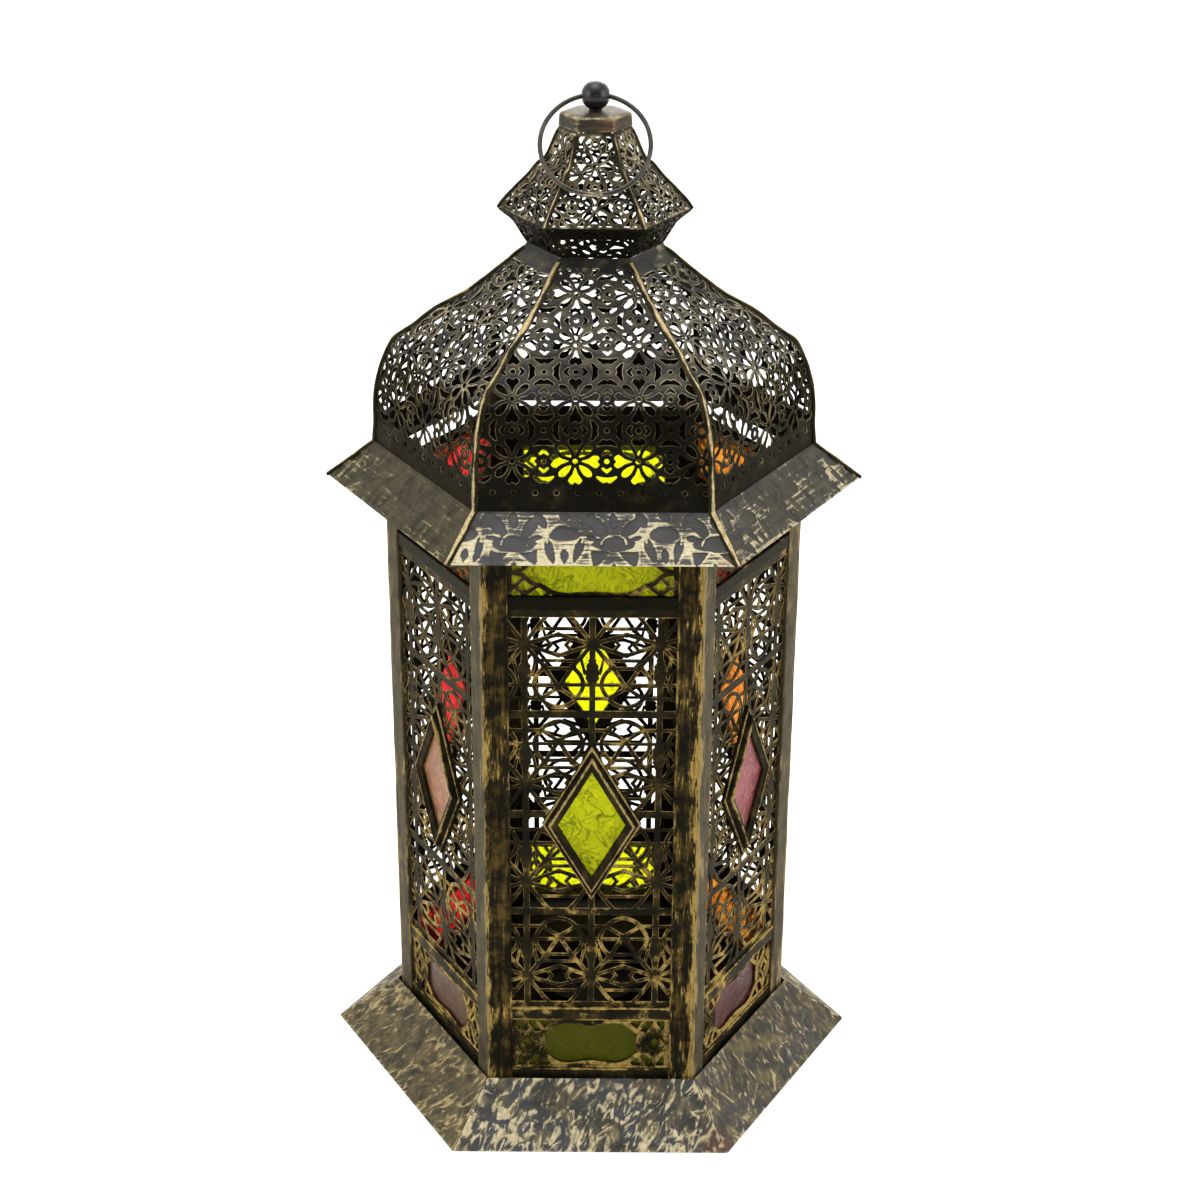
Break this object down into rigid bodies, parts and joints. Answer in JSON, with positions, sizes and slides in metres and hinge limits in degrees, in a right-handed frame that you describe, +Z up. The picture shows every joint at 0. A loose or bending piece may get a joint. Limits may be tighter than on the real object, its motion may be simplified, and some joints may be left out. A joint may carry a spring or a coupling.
{
  "type": "hexagonal hanging lantern",
  "caption": "Hexagonal pierced-metal candle lantern with coloured glass windows, an onion dome and crown, a hinged back door and a hanging ring.",
  "frame": {"origin": "centre of the hexagonal footprint, on the surface the lantern stands on", "axes": "+Z up, the front face looks along -Y, two of the corners lie on the X axis"},
  "size_m": [0.2398, 0.2078, 0.4444],
  "materials": {
    "antiqued_black_metal": "blackened sheet metal with gold rubbed over its edges and raised pattern",
    "rubbed_gold_seams": "worn dull gold over dark metal",
    "ring_wire": "dark wire with gold worn through on its outside",
    "dark_fittings": "blackened steel",
    "glass_lime": "crinkled pressed glass, yellow-green",
    "glass_red": "crinkled pressed glass, red",
    "glass_amber": "crinkled pressed glass, orange amber"
  },
  "bodies": {
    "lantern": {"ball_finial": "antiqued_black_metal", "base_plates": "antiqued_black_metal", "candle_cup": "dark_fittings", "corner_post_back_left": "antiqued_black_metal", "corner_post_back_right": "antiqued_black_metal", "corner_post_front_left": "antiqued_black_metal", "corner_post_front_right": "antiqued_black_metal", "corner_post_left": "antiqued_black_metal", "corner_post_right": "antiqued_black_metal", "crown_hood": "antiqued_black_metal", "crown_seam_ribs": "rubbed_gold_seams", "crown_underside": "antiqued_black_metal", "diamond_frame_back_left": "antiqued_black_metal", "diamond_frame_back_right": "antiqued_black_metal", "diamond_frame_front": "antiqued_black_metal", "diamond_frame_front_left": "antiqued_black_metal", "diamond_frame_front_right": "antiqued_black_metal", "diamond_glass_back_left": "glass_red", "diamond_glass_back_right": "glass_amber", "diamond_glass_front": "glass_lime", "diamond_glass_front_left": "glass_amber", "diamond_glass_front_right": "glass_red", "dome_panel_back": "antiqued_black_metal", "dome_panel_back_left": "antiqued_black_metal", "dome_panel_back_right": "antiqued_black_metal", "dome_panel_front": "antiqued_black_metal", "dome_panel_front_left": "antiqued_black_metal", "dome_panel_front_right": "antiqued_black_metal", "dome_seam_ribs": "rubbed_gold_seams", "door_header": "antiqued_black_metal", "door_hinge_leaves": "dark_fittings", "eave_plates": "antiqued_black_metal", "finial_nut": "dark_fittings", "floor_plate": "dark_fittings", "hinge_pins": "dark_fittings", "latch_rivet": "dark_fittings", "lower_glass_back_left": "glass_red", "lower_glass_back_right": "glass_amber", "lower_glass_front": "glass_lime", "lower_glass_front_left": "glass_amber", "lower_glass_front_right": "glass_red", "side_panel_back_left": "antiqued_black_metal", "side_panel_back_right": "antiqued_black_metal", "side_panel_front": "antiqued_black_metal", "side_panel_front_left": "antiqued_black_metal", "side_panel_front_right": "antiqued_black_metal", "top_cap": "antiqued_black_metal", "upper_glass_back": "glass_lime", "upper_glass_back_left": "glass_red", "upper_glass_back_right": "glass_amber", "upper_glass_front": "glass_lime", "upper_glass_front_left": "glass_amber", "upper_glass_front_right": "glass_red"},
    "ring": {"hanging_ring": "ring_wire"},
    "door": {"door_panel": "antiqued_black_metal", "diamond_frame_back": "antiqued_black_metal", "diamond_glass_back": "glass_lime", "lower_glass_back": "glass_lime", "door_hinge_knuckles": "dark_fittings"},
    "latch": {"latch_button": "dark_fittings"}
  },
  "joints": [
    {"name": "ring_swing", "type": "hinge", "parent": "lantern", "child": "ring", "pos_m": [0, 0, 0.4386], "axis": [-1, 0, 0], "range_deg": [0, 279]},
    {"name": "door_swing", "type": "hinge", "parent": "lantern", "child": "door", "pos_m": [-0.0341, 0.0795, 0.146], "axis": [0, 0, 1], "range_deg": [0, 120]},
    {"name": "latch_turn", "type": "hinge", "parent": "lantern", "child": "latch", "pos_m": [0.0396, 0.0788, 0.1485], "axis": [0, 1, 0], "range_deg": [0, 90]}
  ]
}
